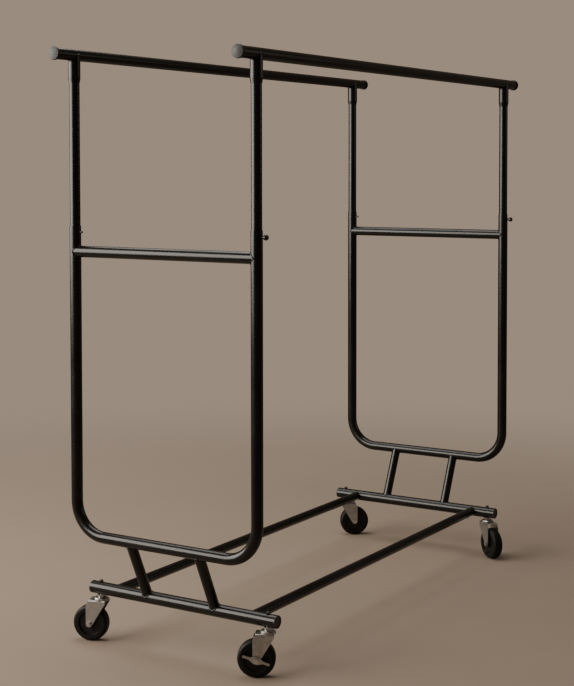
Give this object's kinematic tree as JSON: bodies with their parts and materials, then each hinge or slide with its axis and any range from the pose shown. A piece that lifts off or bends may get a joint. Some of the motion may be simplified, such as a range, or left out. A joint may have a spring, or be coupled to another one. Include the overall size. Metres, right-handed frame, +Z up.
{
  "type": "rolling clothes rack",
  "caption": "Rolling garment rack with bent tube end frames, height-adjustable hang rails and swivel casters.",
  "frame": {"origin": "on the floor, under the middle of the rack", "axes": "+X along the hang rails to the right, +Y to the back, +Z up"},
  "size_m": [1.7044, 0.7138, 1.6612],
  "materials": {
    "black_powder_coat": "satin black powder coat",
    "zinc_plate": "bright zinc plate",
    "bright_steel": "bright turned steel",
    "rail_cap_plastic": "moulded black plastic, smooth",
    "plug_plastic": "moulded black plastic",
    "knob_plastic": "moulded black plastic, polished",
    "tyre_rubber": "hard black rubber",
    "wheel_plastic": "moulded black plastic"
  },
  "bodies": {
    "root": {"left_u_frame": "black_powder_coat", "right_u_frame": "black_powder_coat", "left_cross_bar": "black_powder_coat", "right_cross_bar": "black_powder_coat", "left_base_tube": "black_powder_coat", "right_base_tube": "black_powder_coat", "left_front_strut": "black_powder_coat", "left_back_strut": "black_powder_coat", "right_front_strut": "black_powder_coat", "right_back_strut": "black_powder_coat", "front_side_rail": "black_powder_coat", "back_side_rail": "black_powder_coat", "side_rail_spigots": "black_powder_coat", "side_rail_screws": "bright_steel", "base_end_caps": "plug_plastic", "lock_bushes": "black_powder_coat", "caster_stems": "zinc_plate", "stem_cap_nuts": "plug_plastic", "caster_bearing_caps": "zinc_plate", "caster_balls": "bright_steel"},
    "front_rail": {"front_hang_rail": "black_powder_coat", "front_rail_caps": "rail_cap_plastic", "left_front_socket": "black_powder_coat", "left_front_upright": "black_powder_coat", "right_front_socket": "black_powder_coat", "right_front_upright": "black_powder_coat"},
    "back_rail": {"back_hang_rail": "black_powder_coat", "back_rail_caps": "rail_cap_plastic", "left_back_socket": "black_powder_coat", "left_back_upright": "black_powder_coat", "right_back_socket": "black_powder_coat", "right_back_upright": "black_powder_coat"},
    "left_front_lock": {"left_front_lock_pin": "bright_steel", "left_front_lock_knob": "knob_plastic"},
    "left_back_lock": {"left_back_lock_pin": "bright_steel", "left_back_lock_knob": "knob_plastic"},
    "right_front_lock": {"right_front_lock_pin": "bright_steel", "right_front_lock_knob": "knob_plastic"},
    "right_back_lock": {"right_back_lock_pin": "bright_steel", "right_back_lock_knob": "knob_plastic"},
    "left_front_caster": {"left_front_caster_fork": "zinc_plate", "left_front_caster_axle": "bright_steel"},
    "left_front_wheel": {"left_front_tyre": "tyre_rubber", "left_front_wheel_centre": "wheel_plastic"},
    "left_back_caster": {"left_back_caster_fork": "zinc_plate", "left_back_caster_axle": "bright_steel"},
    "left_back_wheel": {"left_back_tyre": "tyre_rubber", "left_back_wheel_centre": "wheel_plastic"},
    "right_front_caster": {"right_front_caster_fork": "zinc_plate", "right_front_caster_axle": "bright_steel"},
    "right_front_wheel": {"right_front_tyre": "tyre_rubber", "right_front_wheel_centre": "wheel_plastic"},
    "right_back_caster": {"right_back_caster_fork": "zinc_plate", "right_back_caster_axle": "bright_steel"},
    "right_back_wheel": {"right_back_tyre": "tyre_rubber", "right_back_wheel_centre": "wheel_plastic"},
    "left_front_brake": {"left_front_brake_lever": "zinc_plate"}
  },
  "joints": [
    {"name": "front_rail_height", "type": "slide", "parent": "root", "child": "front_rail", "axis": [0, 0, 1], "range_m": [-0.36, 0.24]},
    {"name": "back_rail_height", "type": "slide", "parent": "root", "child": "back_rail", "axis": [0, 0, 1], "range_m": [-0.38, 0.22]},
    {"name": "left_front_lock_pull", "type": "slide", "parent": "root", "child": "left_front_lock", "axis": [0, -1, 0], "range_m": [0, 0.008], "stiffness_N_per_m": 800, "springref_m": -0.005},
    {"name": "left_back_lock_pull", "type": "slide", "parent": "root", "child": "left_back_lock", "axis": [0, -1, 0], "range_m": [0, 0.008], "stiffness_N_per_m": 800, "springref_m": -0.005},
    {"name": "right_front_lock_pull", "type": "slide", "parent": "root", "child": "right_front_lock", "axis": [0, -1, 0], "range_m": [0, 0.008], "stiffness_N_per_m": 800, "springref_m": -0.005},
    {"name": "right_back_lock_pull", "type": "slide", "parent": "root", "child": "right_back_lock", "axis": [0, -1, 0], "range_m": [0, 0.008], "stiffness_N_per_m": 800, "springref_m": -0.005},
    {"name": "left_front_swivel", "type": "hinge", "parent": "root", "child": "left_front_caster", "pos_m": [-0.687, -0.281, 0.119], "axis": [0, 0, 1], "continuous": true},
    {"name": "left_front_roll", "type": "hinge", "parent": "left_front_caster", "child": "left_front_wheel", "pos_m": [-0.702, -0.25502, 0.0508], "axis": [-0.866, -0.5, 0], "continuous": true},
    {"name": "left_back_swivel", "type": "hinge", "parent": "root", "child": "left_back_caster", "pos_m": [-0.687, 0.281, 0.119], "axis": [0, 0, 1], "continuous": true},
    {"name": "left_back_roll", "type": "hinge", "parent": "left_back_caster", "child": "left_back_wheel", "pos_m": [-0.69627, 0.30953, 0.0508], "axis": [-0.9511, -0.309, 0], "continuous": true},
    {"name": "right_front_swivel", "type": "hinge", "parent": "root", "child": "right_front_caster", "pos_m": [0.687, -0.281, 0.119], "axis": [0, 0, 1], "continuous": true},
    {"name": "right_front_roll", "type": "hinge", "parent": "right_front_caster", "child": "right_front_wheel", "pos_m": [0.67022, -0.30587, 0.0508], "axis": [0.829, -0.5592, 0], "continuous": true},
    {"name": "right_back_swivel", "type": "hinge", "parent": "root", "child": "right_back_caster", "pos_m": [0.687, 0.281, 0.119], "axis": [0, 0, 1], "continuous": true},
    {"name": "right_back_roll", "type": "hinge", "parent": "right_back_caster", "child": "right_back_wheel", "pos_m": [0.70547, 0.25736, 0.0508], "axis": [0.788, 0.6157, 0], "continuous": true},
    {"name": "left_front_brake_tilt", "type": "hinge", "parent": "left_front_caster", "child": "left_front_brake", "pos_m": [-0.702, -0.25502, 0.0508], "axis": [-0.866, -0.5, 0], "range_deg": [0, 25]}
  ]
}
